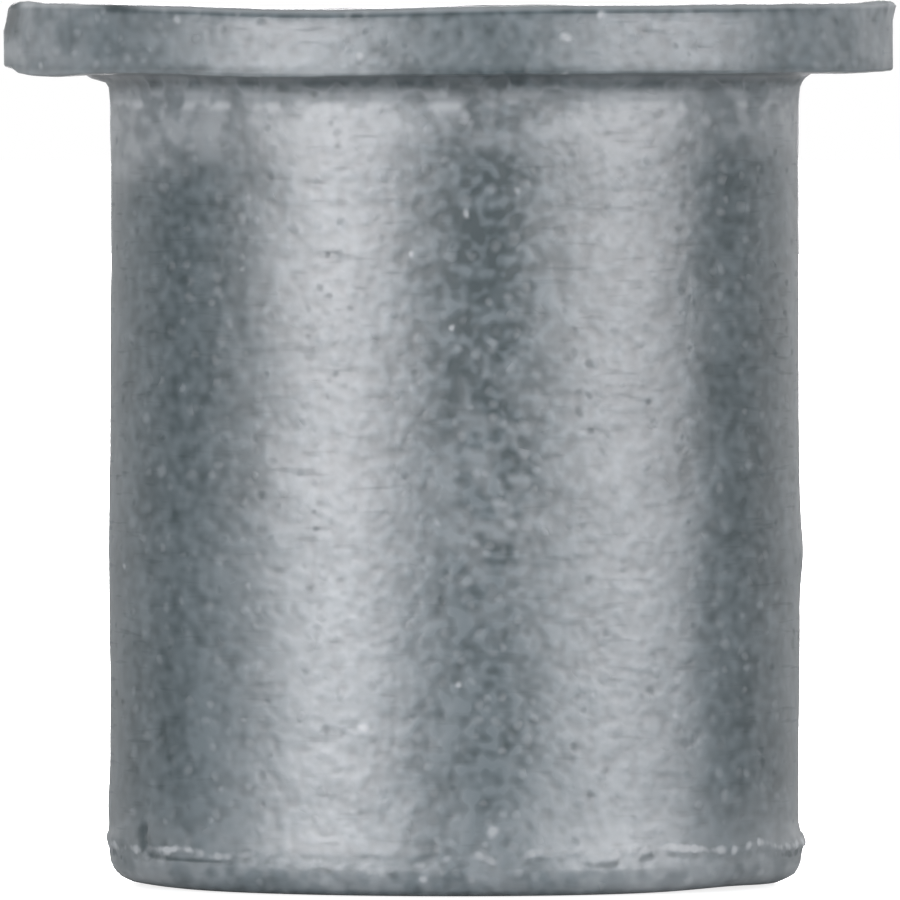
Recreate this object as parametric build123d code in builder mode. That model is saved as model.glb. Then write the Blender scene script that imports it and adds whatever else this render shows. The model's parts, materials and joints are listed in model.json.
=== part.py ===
"""Well nut: a flanged rubber sleeve with a threaded brass nut moulded into its lower end.

The body drops through a hole in a panel until the flange rests on the panel. A screw then comes down
the passage from the flange, and draws the brass nut up, so that the rubber bulges behind the panel.

The origin is the centre of the base. +Z runs up the screw's axis, and the flange is at the top.
"""

from build123d import *
import os

# Driving dimensions, in millimetres

# Screw that the nut takes, M6 x 1
screw_diameter = 6.0
thread_pitch = 1.0
passage_clearance = 0.2  # between the screw and the rubber, on the radius

# Brass insert
insert_length = 6.5
brass_wall = 1.5  # from the thread's bore to the outside of the barrel
thread_chamfer = 0.6
head_height = 1.2
head_overhang = 0.8  # how far the head stands out from the barrel
knurl_count = 24
knurl_depth = 0.25
groove_count = 2
groove_width = 0.9
groove_depth = 0.45

# Rubber sleeve
overall_height = 16.2
rubber_wall = 1.55  # round the head of the insert
flange_overhang = 1.85  # how far the flange stands out from the body
flange_thickness = 1.25
flange_round = 0.12
neck_fillet = 0.38
base_round = 0.5
mouth_chamfer = 0.3

# Bead that the joint of the mould leaves round the body, just above the rounded edge of the base
bead_gap = 0.15
bead_height = 0.28
bead_depth = 0.06

# Sizes worked out from those above

bore_radius = (screw_diameter - thread_pitch) / 2
passage_radius = screw_diameter / 2 + passage_clearance
barrel_radius = bore_radius + brass_wall
head_radius = barrel_radius + head_overhang
body_radius = head_radius + rubber_wall
flange_radius = body_radius + flange_overhang
flange_underside = overall_height - flange_thickness
groove_land = (insert_length - head_height - groove_count * groove_width) / (groove_count + 1)
bead_bottom = base_round + bead_gap
bead_top = bead_bottom + bead_height


# The outside of the brass insert, which is also the pocket that it fills in the rubber

with BuildPart() as insert_blank:
    # Barrel
    with BuildSketch():
        Circle(barrel_radius)
    extrude(amount=insert_length)

    # Head, flush with the base of the sleeve
    with BuildSketch():
        Circle(head_radius)
    extrude(amount=head_height)

    # Knurl round the head: square notches set corner first, which stop the insert from turning
    with BuildSketch():
        with PolarLocations(head_radius, knurl_count):
            RegularPolygon(radius=knurl_depth, side_count=4)
    extrude(amount=head_height, mode=Mode.SUBTRACT)

    # Grooves round the barrel, which the rubber fills and which hold the insert in
    for groove in range(groove_count):
        groove_bottom = head_height + groove_land + groove * (groove_width + groove_land)
        with BuildSketch(Plane.XY.offset(groove_bottom)):
            Circle(barrel_radius)
            Circle(barrel_radius - groove_depth, mode=Mode.SUBTRACT)
        extrude(amount=groove_width, mode=Mode.SUBTRACT)


# Brass insert: the blank, bored to the thread's inner diameter and chamfered at both ends

with BuildPart() as brass_insert:
    add(insert_blank.part)
    Hole(bore_radius)
    mouths = brass_insert.edges().filter_by(GeomType.CIRCLE).group_by(SortBy.RADIUS)[0]
    chamfer(mouths, length=thread_chamfer)

brass_insert.part.label = "brass_insert"


# Rubber sleeve

with BuildPart() as rubber_sleeve:
    # Body
    with BuildSketch():
        Circle(body_radius)
    extrude(amount=flange_underside)
    base_edge = rubber_sleeve.faces().sort_by(Axis.Z)[0].edges()
    fillet(base_edge, radius=base_round)

    # Flange
    with BuildSketch(Plane.XY.offset(flange_underside)):
        Circle(flange_radius)
    extrude(amount=flange_thickness)
    flange_edges = rubber_sleeve.edges().filter_by(GeomType.CIRCLE).group_by(SortBy.RADIUS)[-1]
    fillet(flange_edges, radius=flange_round)

    # Neck, where the body meets the underside of the flange
    neck_edge = (
        rubber_sleeve.edges()
        .filter_by(GeomType.CIRCLE)
        .filter_by_position(Axis.Z, flange_underside, flange_underside)
        .sort_by(SortBy.RADIUS)[0]
    )
    fillet(neck_edge, radius=neck_fillet)

    # Bead of the mould's parting line
    with BuildSketch(Plane.XZ):
        with BuildLine():
            SagittaArc((body_radius, bead_top), (body_radius, bead_bottom), bead_depth)
            Polyline(
                (body_radius, bead_bottom),
                (barrel_radius, bead_bottom),
                (barrel_radius, bead_top),
                (body_radius, bead_top),
            )
        make_face()
    revolve(axis=Axis.Z)

    # Pocket for the insert, and the passage for the screw above it
    add(insert_blank.part, mode=Mode.SUBTRACT)
    with BuildSketch(Plane.XY.offset(overall_height)):
        Circle(passage_radius)
    extrude(amount=-overall_height, mode=Mode.SUBTRACT)
    mouth_edge = rubber_sleeve.faces().sort_by(Axis.Z)[-1].edges().sort_by(SortBy.RADIUS)[0]
    chamfer(mouth_edge, length=mouth_chamfer)

rubber_sleeve.part.label = "rubber_sleeve"


os.makedirs("parts", exist_ok=True)
export_step(rubber_sleeve.part, "parts/rubber_sleeve.step")
export_step(brass_insert.part, "parts/brass_insert.step")

print("body diameter", 2 * body_radius, "flange diameter", 2 * flange_radius, "height", overall_height)
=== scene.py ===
# %% [markdown]
# # A well nut
# A well nut is a flanged rubber sleeve with a threaded brass nut moulded into its far end. It drops into
# a hole in a panel, and when its screw is tightened the rubber bulges behind the panel and holds.
# This lesson dresses the plain solids of one: it models the sleeve with the marks that its mould left,
# taps a real thread into the brass, gives both a finish made of nodes, and lights them softly.

import json
import math

import bmesh
import bpy
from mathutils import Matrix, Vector, noise


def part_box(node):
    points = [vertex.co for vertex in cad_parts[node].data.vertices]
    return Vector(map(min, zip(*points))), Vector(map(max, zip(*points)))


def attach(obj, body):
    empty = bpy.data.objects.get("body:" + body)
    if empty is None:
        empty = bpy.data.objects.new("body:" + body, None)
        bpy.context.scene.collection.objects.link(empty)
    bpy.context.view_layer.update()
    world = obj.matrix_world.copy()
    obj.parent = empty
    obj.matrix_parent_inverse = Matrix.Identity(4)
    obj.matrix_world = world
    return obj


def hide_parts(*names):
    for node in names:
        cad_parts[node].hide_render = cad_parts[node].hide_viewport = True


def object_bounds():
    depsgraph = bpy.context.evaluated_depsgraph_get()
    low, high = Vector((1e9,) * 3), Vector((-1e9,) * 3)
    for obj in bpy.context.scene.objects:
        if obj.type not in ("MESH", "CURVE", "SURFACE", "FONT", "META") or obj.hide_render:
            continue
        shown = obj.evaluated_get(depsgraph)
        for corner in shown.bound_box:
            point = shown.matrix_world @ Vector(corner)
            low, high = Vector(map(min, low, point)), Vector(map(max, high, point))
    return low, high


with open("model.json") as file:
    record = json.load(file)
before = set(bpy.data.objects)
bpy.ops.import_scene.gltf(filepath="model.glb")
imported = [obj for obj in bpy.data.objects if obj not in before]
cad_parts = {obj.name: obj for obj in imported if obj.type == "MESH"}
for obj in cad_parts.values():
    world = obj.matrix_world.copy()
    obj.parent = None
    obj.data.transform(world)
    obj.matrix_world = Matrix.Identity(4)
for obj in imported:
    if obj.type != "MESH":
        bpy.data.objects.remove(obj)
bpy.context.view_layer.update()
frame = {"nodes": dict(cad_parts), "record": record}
print("solids:", ", ".join(sorted(frame["nodes"])))

# %% [markdown]
# ## Sizes
# The solids already have the right sizes, so the script reads them instead of repeating them: the
# outer ones from the boxes of the nodes, the round ones from the interfaces that the record states.
# Only what the solids hide or leave out is written here. Blender's unit is the metre, and mm turns
# millimetres into it.

# %% Sizes of the part
mm = 0.001
sleeve_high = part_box("rubber_sleeve")[1]
insert_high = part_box("brass_insert")[1]
mounts = {mount["name"]: mount for mount in frame["record"]["mounts"]}

top = sleeve_high.z
flange_radius = sleeve_high.x
underside = mounts["flange_underside"]["pos_m"][2]
body_radius = mounts["panel_seat"]["dims"]["r_mm"] * mm
passage_radius = mounts["screw_passage"]["dims"]["r_mm"] * mm
bore_radius = mounts["screw_thread"]["dims"]["r_mm"] * mm
insert_length = insert_high.z
head_radius = max(point.co.xy.length for point in frame["nodes"]["brass_insert"].data.vertices)

neck_fillet = 0.38 * mm
base_round = 0.5 * mm
edge_round = 0.06 * mm
top_round = 0.14 * mm
mouth_chamfer = 0.3 * mm
bead_bottom = 0.65 * mm
bead_top = 0.93 * mm
bead_depth = 0.004 * mm
head_height = 1.2 * mm
barrel_radius = 4.0 * mm
groove_width = 0.9 * mm
groove_depth = 0.45 * mm
groove_count = 2
knurl_depth = 0.25 * mm
knurl_count = 24
print(f"body {body_radius / mm:.2f} mm, flange {flange_radius / mm:.2f} mm, height {top / mm:.2f} mm")

# %% [markdown]
# ## Helpers for shaping round pieces
# On a round piece every ring of points has one radius and one height, so a place is a pair of numbers,
# (radius, height). One helper selects the edges that run from one such place to another, and the ring
# itself when both are the same. Another extrudes the selected ring along an outline, place by place,
# as one would by hand with E and S. A lathe profile with Spin would do as well, but then each ring
# would have to be found again afterwards to round it.

# %% Helpers: open a piece and select its rings
touch = 0.002 * mm
segments = 360


def start_editing(piece):
    """Opens one piece in edit mode with nothing selected."""
    bpy.ops.object.select_all(action="DESELECT")
    piece.select_set(True)
    bpy.context.view_layer.objects.active = piece
    bpy.ops.object.mode_set(mode="EDIT")
    bpy.ops.mesh.select_mode(type="EDGE")
    bpy.ops.mesh.select_all(action="DESELECT")


def stop_editing():
    bpy.ops.object.mode_set(mode="OBJECT")


def at(point, place):
    """Whether a point lies on the ring at a (radius, height)."""
    return abs(point.co.xy.length - place[0]) < touch and abs(point.co.z - place[1]) < touch


def pick_edges(start, end):
    """Selects the edges that run from one ring to another, or round one ring."""
    bpy.ops.mesh.select_all(action="DESELECT")
    mesh = bmesh.from_edit_mesh(bpy.context.object.data)
    for edge in mesh.edges:
        a, b = edge.verts
        if (at(a, start) and at(b, end)) or (at(a, end) and at(b, start)):
            edge.select_set(True)
    bmesh.update_edit_mesh(bpy.context.object.data)


print(f"rings of {segments} points, found to within {touch / mm:g} mm")


# %% Helpers: extrude, round and divide rings
def extrude_along(outline):
    """Extrudes the ring at the outline's first place through all the others."""
    pick_edges(outline[0], outline[0])
    for (old_radius, old_height), (radius, height) in zip(outline, outline[1:]):
        bpy.ops.mesh.extrude_region_move(TRANSFORM_OT_translate={"value": (0, 0, height - old_height)})
        scale = radius / old_radius
        bpy.ops.transform.resize(value=(scale, scale, 1), center_override=(0, 0, height))


def round_ring(place, size, steps):
    """Rounds the edge at a place, or chamfers it in one step."""
    pick_edges(place, place)
    bpy.ops.mesh.bevel(offset=size, segments=steps, affect="EDGES")


def divide(start, end, spacing):
    """Cuts the band between two rings into rows about one spacing apart."""
    length = math.dist(start, end)
    pick_edges(start, end)
    bpy.ops.mesh.subdivide(number_cuts=max(1, round(length / spacing) - 1))


# %% Helpers: press the knurl and close a mesh
def press_knurl():
    """Presses the notches of the knurl into the head's wall, three points each side of a notch."""
    mesh = bmesh.from_edit_mesh(bpy.context.object.data)
    pitch = 360 / knurl_count
    reach = 3
    for step in range(reach):
        bpy.ops.mesh.select_mode(type="VERT")
        bpy.ops.mesh.select_all(action="DESELECT")
        for point in mesh.verts:
            turn = math.degrees(math.atan2(point.co.y, point.co.x)) % pitch
            away = round(min(turn, pitch - turn))
            on_head = abs(point.co.xy.length - head_radius) < touch and point.co.z < head_height + touch
            point.select_set(on_head and away == step)
        mesh.select_flush_mode()
        bmesh.update_edit_mesh(bpy.context.object.data)
        scale = 1 - knurl_depth * (1 - step / reach) / head_radius
        bpy.ops.transform.resize(value=(scale, scale, 1), center_override=(0, 0, 0))
    bpy.ops.mesh.select_mode(type="EDGE")


def close_and_orient():
    """Welds rings that lie on each other and turns every face outwards."""
    bpy.ops.mesh.select_all(action="SELECT")
    bpy.ops.mesh.remove_doubles(threshold=touch / 4)
    bpy.ops.mesh.normals_make_consistent(inside=False)


# %% [markdown]
# ## The sleeve
# The real sleeve is moulded in one piece: a straight wall, a thin flange, a passage for the screw and a
# pocket that the rubber forms round the brass. A cylinder without ends is the start. Its rings are
# extruded up the outside, over the flange, down the passage and round the pocket, back to the base.
# Then the edges are rounded, and the walls cut into fine rows, so that small dents can be pushed in.

# %% Outline of the sleeve
bead_middle = (bead_bottom + bead_top) / 2


def bead_outline(steps=6):
    """The soft hump of the bead that the mould's joint leaves round the base."""
    shares = [step / steps for step in range(steps + 1)]
    return [
        (
            body_radius + bead_depth * math.sin(math.pi * share) ** 2,
            bead_bottom + share * (bead_top - bead_bottom),
        )
        for share in shares
    ]


groove_land = (insert_length - head_height - groove_count * groove_width) / (groove_count + 1)


def barrel_outline():
    """The wall between brass and rubber, from the head of the insert up to its far end."""
    places = [(head_radius, 0), (head_radius, head_height), (barrel_radius, head_height)]
    for groove in range(groove_count):
        bottom = head_height + groove_land + groove * (groove_width + groove_land)
        floor_radius = barrel_radius - groove_depth
        places += [(barrel_radius, bottom), (floor_radius, bottom)]
        places += [(floor_radius, bottom + groove_width), (barrel_radius, bottom + groove_width)]
    return places + [(barrel_radius, insert_length)]


outside = bead_outline() + [(body_radius, underside), (flange_radius, underside), (flange_radius, top)]
inside = [(passage_radius, top), (passage_radius, insert_length)] + barrel_outline()[::-1]
print("outline:", len(outside) + len(inside), "rings")

# %% Model the sleeve
bpy.ops.object.select_all(action="DESELECT")
bpy.ops.mesh.primitive_cylinder_add(
    vertices=segments,
    radius=body_radius,
    depth=bead_bottom,
    end_fill_type="NOTHING",
    location=(0, 0, bead_bottom / 2),
)
bpy.ops.object.transform_apply(location=True, rotation=True, scale=True)
sleeve = bpy.context.object
sleeve.name = "moulded_sleeve"

row = 0.165 * mm
start_editing(sleeve)
extrude_along(outside + inside + [(body_radius, 0)])
close_and_orient()
round_ring((body_radius, 0), base_round, 7)
round_ring((body_radius, underside), neck_fillet, 6)
round_ring((flange_radius, underside), edge_round, 4)
round_ring((flange_radius, top), top_round, 4)
round_ring((passage_radius, top), mouth_chamfer, 3)
divide((body_radius, bead_top), (body_radius, underside - neck_fillet), row)
divide((body_radius + neck_fillet, underside), (flange_radius - edge_round, underside), row)
divide((flange_radius, underside + edge_round), (flange_radius, top - top_round), row)
divide((flange_radius - top_round, top), (passage_radius + mouth_chamfer, top), row)
divide((passage_radius, top - mouth_chamfer), (passage_radius, insert_length), 3 * row)
divide((body_radius - base_round, 0), (head_radius, 0), row)
press_knurl()
close_and_orient()
stop_editing()
print("sleeve:", len(sleeve.data.vertices), "points")

# %% [markdown]
# ## Marks of the mould
# Nothing on the real sleeve is as true as on the drawing. The halves of its mould met a little out of
# line, so the flange sits a tenth of a millimetre to one side. Its upper edge carries a thin lip of
# flash on one side and is rounded off on the other, the bead near the base is ragged, and the wall
# bulges and dips by a few hundredths. Sculpting would do, but it can't be repeated. Here a rule on
# radius, height and direction weights the points, and a Displace modifier moves the weighted ones.

# %% Helpers: weight points by a rule and push them
def ease(value, low, high):
    """0 below low, 1 above high, and a smooth rise between them."""
    share = min(1.0, max(0.0, (value - low) / (high - low)))
    return share * share * (3 - 2 * share)


def hump(value, middle, width):
    """1 at the middle, falling off smoothly over a width."""
    return math.exp(-(((value - middle) / width) ** 2))


def hump_round(angle, middle, width):
    """The same round the axis, in degrees from the front, to the right."""
    return hump((angle - middle + 180) % 360 - 180, 0, width)


def ragged(radius, angle, height, size, seed):
    """Random lumps of about one size, between 0 and 1."""
    turn = math.radians(angle)
    place = Vector((radius * math.sin(turn), -radius * math.cos(turn), height)) / size
    return 0.5 + 0.5 * noise.noise(place + Vector((seed, 0, 0)))


def push(piece, name, distance, rule, direction="NORMAL"):
    """Moves the points of a piece by a distance, each by its weight from rule(radius, angle, height)."""
    group = piece.vertex_groups.new(name=name)
    moved = 0
    for point in piece.data.vertices:
        angle = math.degrees(math.atan2(point.co.x, -point.co.y))
        weight = rule(point.co.xy.length, angle, point.co.z)
        group.add([point.index], weight, "REPLACE")
        moved += weight > 0.01
    bpy.context.view_layer.objects.active = piece
    modifier = piece.modifiers.new(name, "DISPLACE")
    modifier.direction = direction
    modifier.vertex_group = name
    modifier.strength = distance
    modifier.mid_level = 0.0
    bpy.ops.object.modifier_apply(modifier=name)
    piece.vertex_groups.clear()
    print(f"{name}: {moved} points, by up to {distance / mm:.3f} mm")


# %% Push the marks into the wall
def on_outside(radius):
    """1 on the outside of the sleeve, 0 in its passage and its pocket."""
    return 1.0 if radius > head_radius + base_round else 0.0


def on_wall(radius, height):
    """1 on the outside of the sleeve, fading to 0 in the rounding at the base."""
    return on_outside(radius) * ease(height, 0, base_round)


def waist(radius, angle, height):
    """The wall is a little thinner high up."""
    return on_wall(radius, height) * hump(height, 12.4 * mm, 1.6 * mm)


def belly(radius, angle, height):
    """The wall is a little thicker low down."""
    return on_wall(radius, height) * hump(height, 6.2 * mm, 2.2 * mm)


def waves(radius, angle, height):
    """Low waves all over the wall."""
    return on_wall(radius, height) * ragged(radius, angle, height, 2.5 * mm, 1)


def skin(radius, angle, height):
    """Smaller waves over those."""
    return on_wall(radius, height) * ragged(radius, angle, height, 0.8 * mm, 2)


push(sleeve, "belly", 0.02 * mm, belly)
push(sleeve, "waist", -0.01 * mm, waist)
push(sleeve, "waves", 0.03 * mm, waves)
push(sleeve, "skin", -0.02 * mm, skin)


# %% Push the corner under the flange and two swellings
def flare(radius, angle, height):
    """The wall opens slightly into the rounding under the flange."""
    return on_outside(radius) * ease(height, underside - 0.65 * mm, underside - neck_fillet)


def web(radius, angle, height):
    """A thick corner under the flange, on the left."""
    in_corner = ease(height, underside - 0.22 * mm, underside - 0.12 * mm) * ease(height, top, underside)
    near_wall = on_outside(radius) * ease(radius, body_radius + 0.9 * mm, body_radius + 0.4 * mm)
    return near_wall * hump_round(angle, -90, 14) * in_corner


def bulges(radius, angle, height):
    """Two low swellings, on the right half way up and on the left above the bead."""
    right = hump_round(angle, 90, 12) * hump(height, 6.1 * mm, 0.5 * mm)
    left = hump_round(angle, -90, 14) * hump(height, 1.4 * mm, 0.5 * mm)
    return on_outside(radius) * (right + 0.6 * left)


push(sleeve, "flare", 0.02 * mm, flare)
push(sleeve, "web", -0.2 * mm, web, direction="X")
push(sleeve, "bulges", 0.06 * mm, bulges)


# %% Push the bead
def on_bead(radius, height, half):
    """1 on the bead and 0 beyond a half width above or below it, with a flat top."""
    return on_outside(radius) * ease(abs(height - bead_middle), half, half / 3)


def bead_lumps(radius, angle, height):
    """Where the bead is thicker."""
    return on_bead(radius, height, 0.16 * mm) * ease(ragged(radius, angle, height, 0.24 * mm, 4), 0.5, 0.8)


def bead_sides(radius, angle, height):
    """The halves of the mould met on the left and right, so the bead is thickest there."""
    sides = hump_round(angle, 90, 14) + 0.5 * hump_round(angle, -90, 14)
    lumps = 0.7 + 0.5 * ragged(radius, angle, height, 0.25 * mm, 3)
    return on_bead(radius, height, 0.2 * mm) * sides * lumps


def bead_strays(radius, angle, height):
    """The bead wanders up and down."""
    return on_bead(radius, height, 0.3 * mm) * ragged(radius, angle, 0, 0.6 * mm, 5)


push(sleeve, "bead lumps", 0.008 * mm, bead_lumps)
push(sleeve, "bead sides", 0.09 * mm, bead_sides)
push(sleeve, "bead strays", 0.025 * mm, bead_strays, direction="Z")


# %% Push the foot and the nick above it
def heel(radius, angle, height):
    """The foot stands out a little on the right, under the bead."""
    under_bead = ease(height, 0.03 * mm, 0.2 * mm) * ease(height, 0.85 * mm, 0.7 * mm)
    return on_outside(radius) * hump_round(angle, 90, 20) * under_bead


def nick(radius, angle, height):
    """A short curved crease just above the bead, at the lower left."""
    along = radius * math.radians(angle + 61)
    upward = height - 0.95 * mm
    ring = hump(math.hypot(along, upward), 0.27 * mm, 0.07 * mm)
    return on_outside(radius) * ring * ease(along + upward, 0.1 * mm, -0.1 * mm)


def worn_foot(radius, angle, height):
    """Where the lower edge doesn't reach the floor."""
    on_foot = ease(height, base_round, 0) * ease(radius, head_radius, body_radius - base_round)
    return on_foot * (hump_round(angle, 59, 16) + 0.6 * hump_round(angle, -75, 16))


push(sleeve, "heel", 0.05 * mm, heel)
push(sleeve, "nick", -0.06 * mm, nick)
push(sleeve, "worn foot", 0.05 * mm, worn_foot, direction="Z")


# %% Push the upper edge of the flange
def on_rim(radius):
    """1 on the outermost part of the flange."""
    return ease(radius, flange_radius - 0.25 * mm, flange_radius - 0.05 * mm)


def upper_edge(radius, height, depth):
    """1 at the upper edge of the rim, 0 more than a depth below it."""
    return on_rim(radius) * ease(height, top - depth, top - top_round)


def flash(radius, angle, height):
    """A thin fin at the upper edge, on the right."""
    lumps = 0.4 + 1.2 * ragged(radius, angle, height, 0.3 * mm, 6)
    in_fin = ease(height, top - 0.18 * mm, top - 0.1 * mm)
    return on_rim(radius) * in_fin * hump_round(angle, 90, 20) * lumps


def ragged_edge(radius, angle, height):
    """Small dents along the upper edge."""
    return upper_edge(radius, height, 0.3 * mm) * ragged(radius, angle, top, 0.45 * mm, 7)


def curled_edge(radius, angle, height):
    """Where the upper edge stands up, at its two ends."""
    ends = hump_round(angle, -74, 7) + hump_round(angle, 77, 16)
    return upper_edge(radius, height, 0.5 * mm) * ends


push(sleeve, "flash", 0.09 * mm, flash, direction="X")
push(sleeve, "ragged edge", -0.03 * mm, ragged_edge)
push(sleeve, "curled edge", 0.08 * mm, curled_edge, direction="Z")


# %% Push the upper face and the rim
def dip(radius, angle, height):
    """The upper face dips a little, most of all left of the middle."""
    across = radius * math.sin(math.radians(angle))
    left, right = hump(across, -2.5 * mm, 3.0 * mm), hump(across, 2.8 * mm, 3.6 * mm)
    return ease(height, underside, top) * (0.9 * left + 0.27 * right)


def worn_shoulder(radius, angle, height):
    """The left end of the rim is worn back, most of all above."""
    depth = 0.35 + 0.65 * ease(height, top - 0.45 * mm, top - 0.26 * mm)
    return on_rim(radius) * hump_round(angle, -90, 35) * depth


def uneven_rim(radius, angle, height):
    """The rim is slightly out of round."""
    return on_rim(radius) * ragged(radius, angle, 0, 2.5 * mm, 8)


push(sleeve, "dip", -0.128 * mm, dip, direction="Z")
push(sleeve, "worn shoulder", 0.09 * mm, worn_shoulder, direction="X")
push(sleeve, "uneven rim", -0.03 * mm, uneven_rim)


# %% Push the lower edge, and shift the flange
def low_edge(radius, angle, height):
    """Where the lower edge hangs down a little."""
    near_edge = ease(radius, body_radius + neck_fillet, flange_radius) * ease(height, top, underside)
    return near_edge * (hump_round(angle, -64, 9) + 0.9 * hump_round(angle, -20, 14))


def lower_corners(radius, angle, height):
    """The lower corners at the two ends are worn off, most of all on the left."""
    across = radius * math.sin(math.radians(angle))
    left = ease(across, -7.85 * mm, -8.05 * mm)
    right = ease(across, 7.5 * mm, 7.9 * mm)
    return ease(height, underside + 0.4 * mm, underside) * (left + 0.3 * right)


def on_flange(radius, angle, height):
    """1 on the flange, rising smoothly from the wall."""
    return ease(radius, body_radius + 0.1 * mm, body_radius + 0.9 * mm)


push(sleeve, "low edge", -0.06 * mm, low_edge, direction="Z")
push(sleeve, "lower corners", 0.09 * mm, lower_corners, direction="Z")
push(sleeve, "mould shift", -0.13 * mm, on_flange, direction="X")
low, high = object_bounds()
print("with marks:", [round(side / mm, 3) for side in (high - low)], "mm")

# %% [markdown]
# ## The brass insert
# The real insert is turned from bar: a knurled head, a barrel with two grooves that the rubber grips,
# a drilled and tapped hole, and a countersink at each end. It is made here in the same order. A short
# cylinder is the head, and its upper face is inset and extruded into the barrel. The tap is a closed
# screw of its own, and a Boolean cuts it out of the blank, as a steel tap cuts the real thread.

# %% Turn the blank
bpy.ops.object.select_all(action="DESELECT")
bpy.ops.mesh.primitive_cylinder_add(
    vertices=segments,
    radius=head_radius,
    depth=head_height,
    end_fill_type="NOTHING",
    location=(0, 0, head_height / 2),
)
bpy.ops.object.transform_apply(location=True, rotation=True, scale=True)
insert = bpy.context.object
insert.name = "threaded_insert"

start_editing(insert)
extrude_along(barrel_outline()[1:])
press_knurl()
for end in (barrel_outline()[0], barrel_outline()[-1]):
    bpy.ops.mesh.select_all(action="DESELECT")
    mesh = bmesh.from_edit_mesh(insert.data)
    for edge in mesh.edges:
        if edge.is_boundary and abs(edge.verts[0].co.z - end[1]) < touch:
            edge.select_set(True)
    bmesh.update_edit_mesh(insert.data)
    bpy.ops.mesh.edge_face_add()
close_and_orient()
stop_editing()
print("blank:", len(insert.data.vertices), "points")

# %% [markdown]
# ## The thread
# A metric thread has flanks at 60 degrees, with a narrow flat at the root and a wider one at the crest.
# One tooth is drawn as a chain of edges, and the chain is repeated up the axis. The Screw modifier
# turns it once round while it climbs one pitch, so each tooth ends where the next begins, and a merge
# closes the seam. Each open end is extruded and merged to a point, well beyond the brass.

# %% Sizes of the thread
pitch = 1.0 * mm
thread_radius = 3.0 * mm
root_flat = pitch / 8
flank = (thread_radius - bore_radius) * math.tan(math.radians(30))
crest_flat = pitch - root_flat - 2 * flank
tooth = [
    (bore_radius, 0),
    (bore_radius, crest_flat),
    (thread_radius, crest_flat + flank),
    (thread_radius, crest_flat + flank + root_flat),
]
print(f"one tooth: {[(round(radius / mm, 3), round(height / mm, 3)) for radius, height in tooth]}")


# %% Draw the teeth of the tap
def draw_chain(name, places):
    """A chain of edges in the plane y = 0, drawn by extruding one point from place to place."""
    bpy.ops.object.select_all(action="DESELECT")
    bpy.ops.mesh.primitive_plane_add(size=touch, location=(places[0][0], 0, places[0][1]))
    bpy.ops.object.transform_apply(location=True, rotation=True, scale=True)
    chain = bpy.context.object
    chain.name = name
    bpy.ops.object.mode_set(mode="EDIT")
    bpy.ops.mesh.select_mode(type="VERT")
    bpy.ops.mesh.select_all(action="SELECT")
    bpy.ops.mesh.merge(type="CENTER")
    for (old_radius, old_height), (radius, height) in zip(places, places[1:]):
        step = (radius - old_radius, 0, height - old_height)
        bpy.ops.mesh.extrude_region_move(TRANSFORM_OT_translate={"value": step})
    bpy.ops.object.mode_set(mode="OBJECT")
    return chain


turns_beyond = 2
teeth = math.ceil(insert_length / pitch) + 2 * turns_beyond
tap_outline = [
    (radius, height + (number - turns_beyond) * pitch)
    for number in range(teeth)
    for radius, height in tooth
]
tap = draw_chain("tap", tap_outline + [(bore_radius, (teeth - turns_beyond) * pitch)])
print("tap:", teeth, "teeth")

# %% Turn the tap and close its ends
screw = tap.modifiers.new("screw", "SCREW")
screw.steps = screw.render_steps = 120
screw.screw_offset = pitch
screw.use_merge_vertices = False
bpy.ops.object.modifier_apply(modifier="screw")

start_editing(tap)
bpy.ops.mesh.select_all(action="SELECT")
bpy.ops.mesh.remove_doubles(threshold=touch / 4)
for way in (-1, 1):
    bpy.ops.mesh.select_all(action="DESELECT")
    mesh = bmesh.from_edit_mesh(tap.data)
    for edge in mesh.edges:
        beyond_part = way * (edge.verts[0].co.z - insert_length / 2) > insert_length / 2
        edge.select_set(edge.is_boundary and beyond_part)
    bmesh.update_edit_mesh(tap.data)
    bpy.ops.mesh.extrude_region_move(TRANSFORM_OT_translate={"value": (0, 0, way * pitch)})
    bpy.ops.mesh.merge(type="CENTER")
close_and_orient()
stop_editing()
print("tap:", len(tap.data.vertices), "points")

# %% [markdown]
# ## Tapping and countersinking
# The order is the machinist's: drill, tap, countersink. The tap already holds the drilled core, so one
# Boolean does both, and a cone at each end takes the sharp start off the thread. The tools are deleted
# after use.

# %% Tap and countersink the insert
countersink_radius = 3.1 * mm
countersink_depth = 0.6 * mm
beyond = 0.2 * mm


def countersink(height, way):
    """A cone that opens the hole at one end, pointing into the brass."""
    slope = (countersink_radius - bore_radius) / countersink_depth
    outer = countersink_radius + beyond * slope
    inner = bore_radius - beyond * slope
    low_end, high_end = (outer, inner) if way > 0 else (inner, outer)
    bpy.ops.mesh.primitive_cone_add(
        vertices=segments // 2,
        radius1=low_end,
        radius2=high_end,
        depth=countersink_depth + 2 * beyond,
        location=(0, 0, height + way * countersink_depth / 2),
    )
    bpy.ops.object.transform_apply(location=True, rotation=True, scale=True)
    return bpy.context.object


for tool in (tap, countersink(0, 1), countersink(insert_length, -1)):
    bpy.ops.object.select_all(action="DESELECT")
    bpy.context.view_layer.objects.active = insert
    cut = insert.modifiers.new("cut", "BOOLEAN")
    cut.operation = "DIFFERENCE"
    cut.solver = "EXACT"
    cut.object = tool
    bpy.ops.object.modifier_apply(modifier="cut")
    bpy.data.objects.remove(tool)

start_editing(insert)
close_and_orient()
stop_editing()
check = bmesh.new()
check.from_mesh(insert.data)
open_edges = sum(not edge.is_manifold for edge in check.edges)
print("insert:", len(check.faces), "faces,", open_edges, "open edges")
check.free()

# %% Smooth the round faces
for piece, angle in ((sleeve, 40), (insert, 25)):
    bpy.ops.object.select_all(action="DESELECT")
    piece.select_set(True)
    bpy.context.view_layer.objects.active = piece
    bpy.ops.object.shade_smooth_by_angle(angle=math.radians(angle))
    print(f"{piece.name}: smooth up to {angle} degrees")

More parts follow.
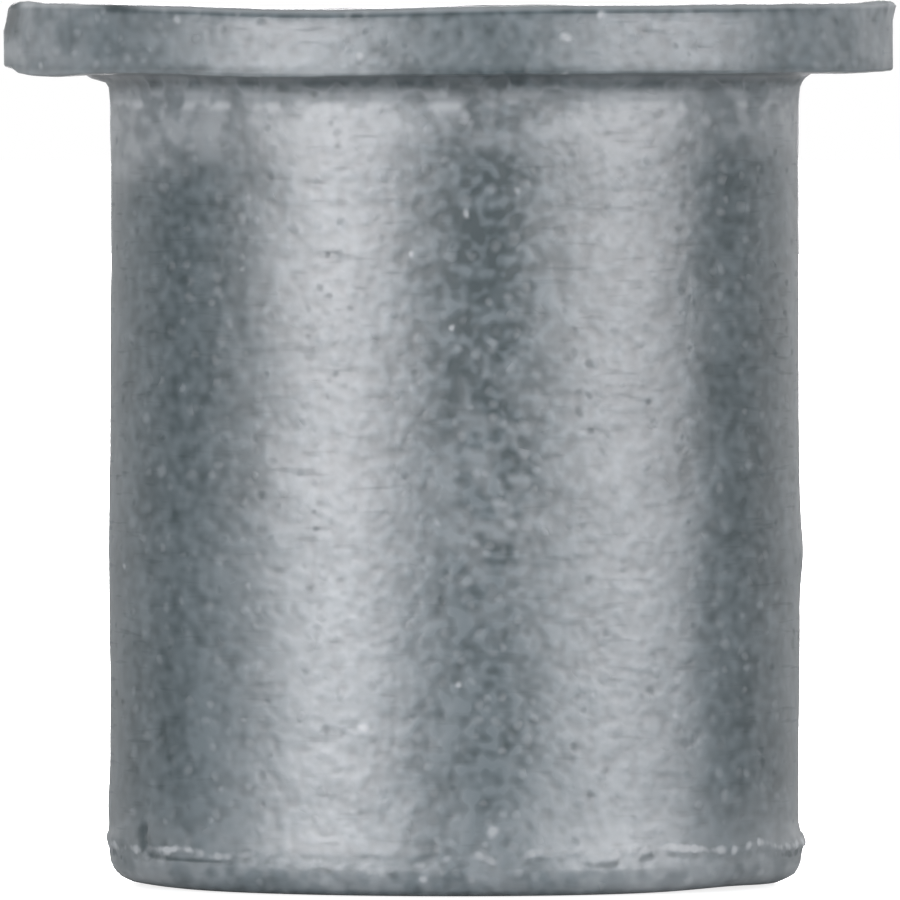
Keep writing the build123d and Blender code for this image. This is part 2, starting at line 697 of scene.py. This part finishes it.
# %% [markdown]
# ## Finishes as expressions
# A finish is worked out from masks: sums and products of patterns. Wired by hand that is dozens of Math
# nodes, so one small class wraps an output and lets Python's own signs add them: 1 - mask is a node too.
# Its one method adds any other node: its settings first, then the values or wires of its sockets.

# %% Wires
class Wire:
    """An output in a node tree. Arithmetic on wires adds Math nodes to the tree."""

    def __init__(self, socket):
        self.socket = socket

    def add(self, kind, settings=None, sockets=None, output=0):
        """Adds a node to the same tree and returns one of its outputs."""
        tree = self.socket.id_data
        node = tree.nodes.new(kind)
        for name, value in (settings or {}).items():
            setattr(node, name, value)
        for name, value in (sockets or {}).items():
            if isinstance(value, Wire):
                tree.links.new(value.socket, node.inputs[name])
            else:
                node.inputs[name].default_value = value
        return Wire(node.outputs[output])

    def other(self, output):
        """Another output of the same node."""
        return Wire(self.socket.node.outputs[output])

    def math(self, operation, first, second):
        return self.add("ShaderNodeMath", {"operation": operation}, {0: first, 1: second})

    def __add__(self, other):
        return self.math("ADD", self, other)

    __radd__ = __add__

    def __sub__(self, other):
        return self.math("SUBTRACT", self, other)

    def __rsub__(self, other):
        return self.math("SUBTRACT", other, self)

    def __mul__(self, other):
        return self.math("MULTIPLY", self, other)

    __rmul__ = __mul__

    def __truediv__(self, other):
        return self.math("DIVIDE", self, other)

    def __rtruediv__(self, other):
        return self.math("DIVIDE", other, self)


# %% Masks and colours from wires
def rise(wire, low, high):
    """0 where the wire is below low, 1 above high, smooth between. With low the larger it falls."""
    return wire.add(
        "ShaderNodeMapRange",
        {"interpolation_type": "SMOOTHSTEP"},
        {"Value": wire, "From Min": low, "From Max": high},
    )


def band(wire, middle, half):
    """1 at the middle value, 0 beyond a half width on either side."""
    return rise(wire, middle - half, middle) * rise(wire, middle + half, middle)


def lumps_of(place, scale, detail=2.0, stretch=(1, 1, 1)):
    """Random lumps, scale of them to a millimetre, drawn out along the axes with a small stretch."""
    spot = place.add("ShaderNodeVectorMath", {"operation": "MULTIPLY"}, {0: place, 1: stretch})
    return place.add("ShaderNodeTexNoise", None, {"Vector": spot, "Scale": scale, "Detail": detail})


def blend_colours(amount, first, second):
    """The first colour where the amount is 0 and the second where it is 1."""
    return amount.add("ShaderNodeMix", {"data_type": "RGBA"}, {0: amount, 6: first, 7: second}, output=2)


# %% Start and finish a material
def new_finish(name):
    """An empty material, and the place of each point on the piece in millimetres."""
    finish = bpy.data.materials.new(name)
    finish.use_nodes = True
    finish.node_tree.nodes.clear()
    metres = Wire(finish.node_tree.nodes.new("ShaderNodeTexCoord").outputs["Object"])
    return finish, metres.add("ShaderNodeMapping", None, {"Vector": metres, "Scale": (1 / mm,) * 3})


def put_out(finish, shader):
    """Wires a shader to the material's output."""
    tree = finish.node_tree
    tree.links.new(shader.socket, tree.nodes.new("ShaderNodeOutputMaterial").inputs["Surface"])
    return finish


# %% [markdown]
# ## Moulded rubber
# The rubber is a blue-grey with a satin sheen, not black. Close up it is mottled, with small pale specks
# and dark pits. Faint lines run round it where the mould was turned. It is paler under the flange, near
# the base and along the mould's joint, partly with a pale bloom on the surface and partly with painted
# light, and the shade along and under the rim, under the joint and at the bottom edge is painted too.
# An image texture would have to be wrapped round the nut. Here masks are worked out from the place of
# each point, in millimetres, and added up in two sums: tone goes from deep grey to pale grey, with the
# painted shade in it, and the second sum, of bloom and painted light, covers that with the palest grey.

# %% Colours and spots of the rubber
deep_grey = (0.015, 0.035, 0.042, 1)
pale_grey = (0.105, 0.139, 0.156, 1)
# The palest grey is that of the bloom, and of the painted light that uses it.
bloom_and_light_grey = (0.36, 0.39, 0.41, 1)


def spots(place, scale, smallest, largest, share):
    """Small uneven spots, scale of them to a millimetre, in a share of the places that there are.

    Their sizes are radii, measured in the spacing of the spots."""
    shake = place.add("ShaderNodeTexNoise", None, {"Vector": place, "Scale": 5.0, "Detail": 0.0}, output=1)
    shaken = place.add(
        "ShaderNodeVectorMath", {"operation": "MULTIPLY_ADD"}, {0: shake, 1: (0.1,) * 3, 2: place}
    )
    cells = place.add("ShaderNodeTexVoronoi", None, {"Vector": shaken, "Scale": scale})
    chance = cells.add("ShaderNodeSeparateColor", None, {0: cells.other("Color")})
    size = smallest + (largest - smallest) * chance
    return rise(cells / size, 1.0, 0.2) * rise(chance.other("Green"), 1 - share, 1.0)


# %% Rubber: where a point is
rubber, place = new_finish("moulded neoprene")


def tell(made):
    """Prints what has been made of the rubber, and how many nodes it has so far."""
    print(f"{made}: {len(rubber.node_tree.nodes)} nodes so far")


across = place.add("ShaderNodeSeparateXYZ", None, {0: place})
depth = across.other("Y")
height = across.other("Z")
underside_at, top_at, bead_at = underside / mm, top / mm, bead_middle / mm

left = rise(across, -3.0, -6.5)
right = rise(across, 2.5, 5.0)
# Seen from the front, the two pale bands that the lights draw down the wall fall here. Colour that follows
# them is painted light and painted shade: parts are made paler or darker where the light falls.
left_light_band = band(across, -2.1, 1.7)
right_light_band = band(across, 3.2, 1.7)
front = rise(depth, -3.4, -4.6)
nearer_half = rise(depth, -1.0, -2.0)
flange = rise(height, underside_at - 0.1, underside_at + 0.1)
wall = 1 - flange
# The rim starts where the distance from the axis is about 7.6 mm, and 58 is its square.
rim = flange * rise(across * across + depth * depth, 58, 63)
tell("places")

# %% Rubber: mottle
# From the front the pattern would look crowded at the two sides, so it is drawn out along the depth.
drawn_out = place.add("ShaderNodeVectorMath", {"operation": "MULTIPLY"}, {0: place, 1: (1, 0.5, 1)})
drifts = lumps_of(place, 0.9, 3)
lumps = lumps_of(drawn_out, 3.0, 1)
grain = lumps_of(drawn_out, 4.8, 0)
dots = rise(grain, 0.45, 0.72) - 0.25

# The mottle is strongest, and the tone a little darker, on a strip down the middle of the wall,
# and faint at the two sides.
middle_strip = wall * band(across, 0.6, 2.6)
calm = 1 - 0.5 * rise(depth * depth, 8, 1)
mottle = 1.3 * (lumps - 0.5) * (0.8 + 0.45 * middle_strip) + (grain - 0.5) + 0.36 * dots * middle_strip
mottle = mottle * (1 - 0.12 * left) * calm
tell("mottle")

# %% Rubber: blots, lines and spots
blots = rise(lumps_of(place, 2.4, 1, stretch=(1, 0.35, 1)), 0.36, 0.64)
lines = rise(lumps_of(place, 1.3, 1, stretch=(1, 0.6, 7)), 0.6, 0.74)
specks = spots(drawn_out, scale=3.6, smallest=0.34, largest=0.56, share=0.85)
pits = spots(drawn_out, scale=3.5, smallest=0.28, largest=0.45, share=0.6)
grit = spots(drawn_out, scale=1.3, smallest=0.13, largest=0.22, share=0.6)
tell("spots")

# %% Rubber: the wall
# Painted light: the lower part of the front of the wall is paler, for the light that comes up from the
# floor.
painted_light_lower_front = front * rise(height, 10, 4)
# Painted shade: the wall is darker near its right end, where the dark band on the right falls, and a
# little darker over all its right side.
painted_shade_right_end = band(across, 5.8, 0.8) * band(height, 9.2, 4.5)
# Pale blots on a patch in the middle of the wall.
middle_patch = band(across, 0.8, 2.0) * band(height, 7.2, 4.0)
tell("wall")

# %% Rubber: the rim of the flange
# The upper edge dips twice, so what lies along it is placed by the distance from the dipped edge.
from_top = height + 0.115 * band(across, -2.5, 5.0) + 0.035 * band(across, 3.0, 5.0) - top_at
# Painted reflection: the top tenth of a millimetre of the rim is very pale, for the bright room that its
# upper edge reflects.
painted_reflection_crest = rim * rise(from_top, -0.11, 0.0)
# Painted shade: a dark line just under the upper edge, across the front.
painted_shade_top_edge = rim * band(from_top, -0.12, 0.08) * band(across, 0.0, 4.5)
# Painted shade: a dark streak under the upper edge on the left, on the nearer half, with no bloom on it.
painted_shade_upper_left = rim * rise(from_top, -0.2, -0.06) * band(across, -6.13, 0.65) * nearer_half
# Painted shade: the upper part of the rim at its left end is dark, with no bloom on it.
painted_shade_left_end = rise(across, -7.86, -8.08) * rise(height, top_at - 0.75, top_at - 0.5)
left_corner = rim * rise(across, -6.7, -7.8) * band(height, underside_at + 0.35, 0.3)
ends = rim * rise(across * across, 20, 60)
# Painted shade: the lower edge of the flange, which faces down, is darker. In the two lit bands it is made
# paler instead, with painted light.
lower_rim_shade_and_light = flange * rise(height, underside_at + 0.2, underside_at + 0.04)
tell("rim")

# %% Rubber: the corner under the flange
# The paler band there is painted light, for the light that the flange's underside throws back on the
# wall, with pale blots of bloom in it. Its upper edge is uneven, because blots shift the height that
# it is judged by.
uneven = height + 0.3 * (blots - 0.5)
neck_light_and_bloom = rise(height + 0.7 * left, underside_at - 1.8, underside_at - 0.8)
neck_light_and_bloom = neck_light_and_bloom * rise(uneven, underside_at, underside_at - 0.26)
# Pale blots along the lower edge of that band of painted light.
light_edge_blots = blots * band(height, underside_at - 0.6, 0.14)
# Painted light in the rounding just under the flange, which lies in the flange's shade; less of it in the
# middle of the wall.
corner = band(height, underside_at - 0.05, 0.15) * (1 - 0.6 * band(across, 0.6, 2.4))
shelf = wall * rise(height, underside_at - 0.58, underside_at - 0.46)
tell("corner")

# %% Rubber: the base
# Near the base the rubber is paler, partly with blots of bloom, partly with painted light from the floor:
# more of it on the right, less in the left lit band. On the foot and its lower edge it is paler again,
# most in the two lit bands and at the two sides.
near_base = rise(height, 2.2, 0.8)
# Painted shadow: the lowest tenth of a millimetre, where the nut meets the floor, is darker.
painted_contact_shadow = rise(height, 0.15, 0.05)
foot = rise(height, 0.75, 0.4) - painted_contact_shadow
toe_light = rise(height, 0.5, 0.2) * (left + right + 0.5 * left_light_band + 0.8 * right_light_band)

# The mould's joint sags and wanders. It is painted as a ridge lit from above: pale dashes, partly bloom
# and partly a painted highlight on its upper side, with dark dashes of painted shadow below them.
sag = 0.22 * band(across, -1.5, 1.7) + 0.07 * rise(across, 2.0, 0.5)
wander = height + sag + 0.3 * (lumps_of(place, 1.1, 0) - 0.5)
dashes = lumps_of(place, 3.3, 1, stretch=(1, 1, 0.7))
joint = rise(band(wander, bead_at, 0.22) * dashes, 0.34, 0.66)
joint = joint * (0.9 + 0.4 * left + 0.6 * right - 0.75 * left_light_band)
painted_shadow_under_joint = rise(band(wander, bead_at - 0.15, 0.2) * dashes, 0.4, 0.66)
painted_shadow_dashes = band(wander, bead_at - 0.13, 0.11) * rise(dashes, 0.42, 0.56)
painted_shadow_under_joint = painted_shadow_under_joint + 0.9 * band(across, 3.1, 1.1) * painted_shadow_dashes
# Painted shade: the joint is darker where the left lit band crosses it.
joint_shade_in_left_band = left_light_band * band(height, bead_at + 0.03, 0.25)
tell("base")

# %% Rubber: the crease at the lower left
# A circle has equal sums of squares. Fourth powers make it squarer, and a part of it is the crease.
sideways = (across + 4.8) / 0.9
upwards = (height - 0.935) / 0.36
squarish = sideways * sideways * sideways * sideways + upwards * upwards * upwards * upwards
# The crease is a dent in the relief, and its darkening is painted shade.
crease = band(squarish, 1.0, 0.7) * rise(sideways + upwards, -0.1, -0.7) * nearer_half
fleck = band(across, -5.25, 0.28) + 0.4 * band(across, -4.85, 0.4)
fleck = fleck * band(height, 0.76, 0.08) * nearer_half
tell("crease")

# %% Rubber: the two sums
# Tone holds the rubber's own drifts, mottle, pits and lines, painted light on the lower front, and painted
# shade: at the right of the wall, along and under the rim, under the joint, in the crease and at the
# bottom edge.
tone = 0.42 + 0.8 * (drifts - 0.5) + mottle - 0.22 * pits - 0.14 * lines * wall
tone = tone + 0.38 * painted_light_lower_front - 0.05 * right * wall - 0.08 * middle_strip - 0.18 * painted_shade_right_end
tone = tone + 0.22 * flange - 0.3 * painted_shade_top_edge - 0.7 * painted_shade_upper_left - 0.6 * painted_shade_left_end
tone = tone - 0.28 * lower_rim_shade_and_light * (1 - 1.3 * left_light_band - 0.9 * right_light_band)
tone = tone - 0.4 * painted_shadow_under_joint - 0.25 * joint_shade_in_left_band - 0.15 * painted_contact_shadow - 0.6 * crease

# The second sum is partly bloom and partly painted light: painted light under the flange, at the upper
# edge, near the base and on the joint's upper side, paler or darker in the two lit bands.
bloom_and_light = 0.3 * middle_patch * blots + 0.7 * painted_reflection_crest + 0.14 * left_corner + ends * (0.02 + 0.27 * blots + 0.08 * left)
bloom_and_light = bloom_and_light + lower_rim_shade_and_light * (0.3 * left_light_band + 0.12 * right_light_band - 0.1 * band(across, 0.6, 1.6))
bloom_and_light = bloom_and_light + neck_light_and_bloom * (0.15 + 0.36 * blots + 0.12 * left) + 0.35 * light_edge_blots + 0.4 * corner
base_bloom_and_light = 0.07 + 0.14 * blots + 0.12 * right + 0.05 * right_light_band - 0.12 * left_light_band
foot_bloom_and_light = 0.05 + 0.14 * blots - 0.05 * right + 0.14 * right_light_band + 0.2 * left_light_band
bloom_and_light = bloom_and_light + near_base * base_bloom_and_light + foot * foot_bloom_and_light + 0.16 * toe_light + 0.5 * joint + 0.7 * fleck
tell("sums")

# %% Rubber: colour, sheen and relief
pale = bloom_and_light * (1 - 0.7 * crease) * (1 - painted_shade_upper_left) * (1 - painted_shade_left_end)
pale = pale + 0.22 * specks + 0.25 * grit + 0.45 * grit * grit
colour = blend_colours(pale, blend_colours(tone, deep_grey, pale_grey), bloom_and_light_grey)
dull = 0.33 + 0.1 * bloom_and_light + 0.1 * specks + 0.12 * pits + 0.06 * lines
dull = dull + 0.05 * flange + 0.08 * shelf + 0.2 * painted_shadow_under_joint + 0.04 * joint_shade_in_left_band
relief = 0.8 * lumps + 0.5 * grain + 0.25 * specks - 0.25 * pits - 0.5 * crease
bump = place.add("ShaderNodeBump", None, {"Strength": 1.0, "Distance": 0.012 * mm, "Height": relief})
surface = place.add(
    "ShaderNodeBsdfPrincipled",
    None,
    {"Base Color": colour, "Roughness": dull, "Normal": bump, "IOR": 1.8},
)
sleeve.data.materials.append(put_out(rubber, surface))
tell("rubber")

# %% [markdown]
# ## Turned brass
# The end faces of the insert keep the fine rings of the lathe tool, and the metal has dulled a little.
# The rings follow the distance from the axis, so they are a wave of that distance, and the tarnish is
# a slow random drift between two colours of brass.

# %% Brass
bright_brass = (0.66, 0.46, 0.19, 1)
dull_brass = (0.38, 0.25, 0.10, 1)
# In radians to a millimetre, so the rings are 0.09 mm apart.
ring_rate = 70

brass, spot = new_finish("turned brass")
flat = spot.add("ShaderNodeVectorMath", {"operation": "MULTIPLY"}, {0: spot, 1: (1, 1, 0)})
distance = flat.add("ShaderNodeVectorMath", {"operation": "LENGTH"}, {0: flat}, output=1)
rings = distance.math("SINE", ring_rate * distance + 3 * lumps_of(spot, 0.8), 0)
tarnish = rise(lumps_of(spot, 1.3, 4), 0.4, 0.7)
colour = blend_colours(0.75 * tarnish, bright_brass, dull_brass)
bump = spot.add("ShaderNodeBump", None, {"Strength": 0.4, "Distance": 0.004 * mm, "Height": rings})
surface = spot.add(
    "ShaderNodeBsdfPrincipled",
    None,
    {"Base Color": colour, "Metallic": 1.0, "Roughness": 0.26 + 0.2 * tarnish, "Normal": bump},
)
insert.data.materials.append(put_out(brass, surface))
print("brass:", len(brass.node_tree.nodes), "nodes")

# %% Join the pieces to the frame
for piece, node, slot_name in (
    (sleeve, "rubber_sleeve", "neoprene"),
    (insert, "brass_insert", "brass"),
):
    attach(piece, "root")
    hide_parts(node)
    print(f"{piece.name} replaces {node}")

# %% [markdown]
# ## Floor, light and camera
# The nut stands on a white floor in a white room. On each side in front is a wide dim light with a
# brighter window before it and a brighter middle before that, so each of the two pale bands that they
# draw down the wall fades out at its sides. Two more lights and a strip behind pick out the edges.

# %% Floor
bpy.ops.object.select_all(action="DESELECT")
floor_radius = 1.5
below_base = -0.01 * mm
bpy.ops.mesh.primitive_circle_add(
    vertices=96, radius=floor_radius, fill_type="NGON", location=(0, 0, below_base)
)
bpy.ops.object.transform_apply(location=True)
floor = bpy.context.object
floor.name = "floor"


def white_floor():
    """A slightly glossy white that also glows a little to the camera, to be as white as the room."""
    finish, spot = new_finish("white floor")
    camera_rays = spot.add("ShaderNodeLightPath")
    white = (0.8, 0.8, 0.8, 1)
    plain = spot.add("ShaderNodeBsdfPrincipled", None, {"Base Color": white, "Roughness": 0.25})
    glow = spot.add("ShaderNodeEmission", None, {"Strength": camera_rays * 0.8})
    return put_out(finish, spot.add("ShaderNodeAddShader", None, {0: plain, 1: glow}))


floor.data.materials.append(white_floor())
print(f"floor: {2 * floor_radius} m across")

# %% Lights
light_height = 0.2
light_colour = (1.0, 0.97, 0.99)


def soft_light(name, azimuth, spread, brightness, distance):
    """A long low soft light that stands on the floor and faces the nut.

    Its azimuth is in degrees from the front, to the right, and its spread is how wide it looks from
    the nut, also in degrees. Its brightness is that of its face, so a wider light gives more light."""
    turn = math.radians(azimuth)
    lamp = bpy.data.lights.new(name, "AREA")
    lamp.shape = "RECTANGLE"
    lamp.size = 2 * distance * math.tan(math.radians(spread / 2))
    lamp.size_y = light_height
    lamp.energy = brightness * math.pi * lamp.size * lamp.size_y
    lamp.color = light_colour
    light = bpy.data.objects.new(name, lamp)
    bpy.context.scene.collection.objects.link(light)
    light.location = (distance * math.sin(turn), -distance * math.cos(turn), light_height / 2)
    light.rotation_euler = (math.pi / 2, 0, turn)
    light.visible_camera = False
    print(f"{name}: {spread} degrees wide, {lamp.energy:.2f} W")
    return light


middle_distance, window_distance, wall_distance = 0.8, 0.85, 0.9
middle_share = 0.45
middle_gain = 0.6
wall_spread = 90
back_azimuth, back_spread = 140, 50
for side, azimuth, spread, window_glow, wall_glow, back_glow in (
    ("left", -40, 50, 6.2, 2.0, 0.3),
    ("right", 55, 60, 5.3, 0.2, 0.6),
):
    middle_glow = middle_gain * window_glow
    behind = math.copysign(back_azimuth, azimuth)
    soft_light(side + " window", azimuth, spread, window_glow, window_distance)
    soft_light(side + " window middle", azimuth, spread * middle_share, middle_glow, middle_distance)
    soft_light(side + " wall", azimuth, wall_spread, wall_glow, wall_distance)
    soft_light(side + " back wall", behind, back_spread, back_glow, wall_distance)
soft_light("back strip", azimuth=180, spread=14, brightness=12, distance=window_distance)

# %% World
room = bpy.data.worlds.new("white room")
bpy.context.scene.world = room
room.use_nodes = True
room.node_tree.nodes.clear()
# The camera sees the room pure white, and the nut is lit by a dimmer one.
white = (1, 1, 1, 1)
room_glow = 0.45
rays = Wire(room.node_tree.nodes.new("ShaderNodeLightPath").outputs["Is Camera Ray"])
dim = rays.add("ShaderNodeBackground", None, {"Color": white, "Strength": room_glow})
bright = rays.add("ShaderNodeBackground", None, {"Color": white, "Strength": 1.0})
shown = rays.add("ShaderNodeMixShader", None, {0: rays, 1: dim, 2: bright})
room.node_tree.links.new(shown.socket, room.node_tree.nodes.new("ShaderNodeOutputWorld").inputs["Surface"])
print(f"room: white, and it lights the nut at {room_glow} of that")

# %% Camera
# A very long lens from a short way off sees the nut almost level, with its base a little from above.
camera_distance = 360 * mm
camera_height = 16.5 * mm
camera_shift = -0.086 * mm
aim_height = 7.97 * mm
focal_length = 780.6
camera_data = bpy.data.cameras.new("camera")
camera_data.lens = focal_length
camera_data.clip_start, camera_data.clip_end = 0.01, 10
camera = bpy.data.objects.new("camera", camera_data)
bpy.context.scene.collection.objects.link(camera)
camera.location = (camera_shift, -camera_distance, camera_height)
camera.rotation_euler = (math.pi / 2 - math.atan((camera_height - aim_height) / camera_distance), 0, 0)
bpy.context.scene.camera = camera
bpy.context.scene.view_settings.view_transform = "Standard"
print(f"camera: {camera_distance} m away, {focal_length} mm lens")
